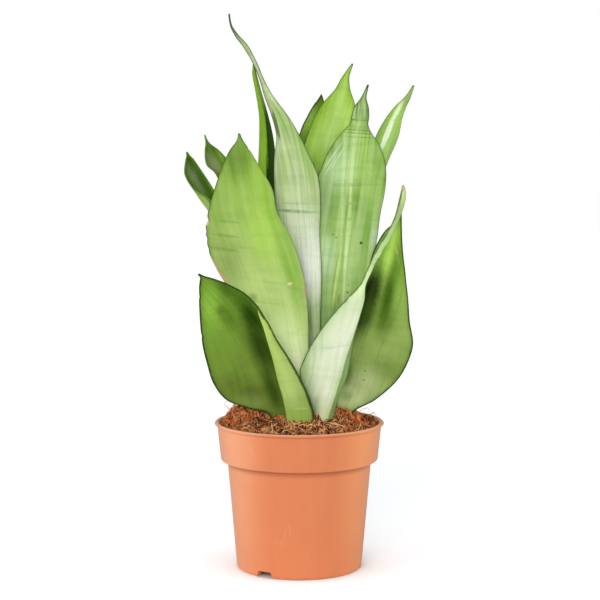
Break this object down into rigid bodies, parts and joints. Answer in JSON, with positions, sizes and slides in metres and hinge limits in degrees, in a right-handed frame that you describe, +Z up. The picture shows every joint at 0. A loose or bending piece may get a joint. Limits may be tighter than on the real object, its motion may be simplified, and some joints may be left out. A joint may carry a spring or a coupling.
{
  "type": "potted moonshine snake plant",
  "caption": "Snake plant with broad, pointed silvery-green leaves in coir soil, in a terracotta-coloured plastic nursery pot with a stepped rim.",
  "frame": {"origin": "middle of the flat plinth under the pot, on the surface that the pot stands on", "axes": "+Z up, front of the plant toward -Y, +X to the right as seen from the front"},
  "size_m": [0.1653, 0.12, 0.3903],
  "materials": {
    "pot_plastic": "satin terracotta-coloured moulded plastic",
    "coir_soil": "rough brown coir with tan fibres",
    "leaf_silver_green": "satin silvery green with a fine dark margin",
    "leaf_fresh_green": "satin fresh yellow-green with a fine dark margin",
    "leaf_mid_green": "satin mid green with a fine dark margin",
    "leaf_deep_green": "satin deep green with a fine dark margin"
  },
  "bodies": {
    "root": {"pot": "pot_plastic", "soil": "coir_soil", "leaf_front_left_strip": "leaf_fresh_green", "leaf_front_right_silver": "leaf_silver_green", "leaf_low_left": "leaf_deep_green", "leaf_low_right": "leaf_deep_green", "leaf_tall_left": "leaf_fresh_green", "leaf_tall_centre": "leaf_silver_green", "leaf_tall_right": "leaf_silver_green", "leaf_back_broad": "leaf_fresh_green", "leaf_back_folded": "leaf_deep_green", "leaf_back_right": "leaf_silver_green", "leaf_back_channel": "leaf_fresh_green", "leaf_far_left_upper": "leaf_mid_green", "leaf_far_left_lower": "leaf_mid_green"}
  },
  "joints": []
}
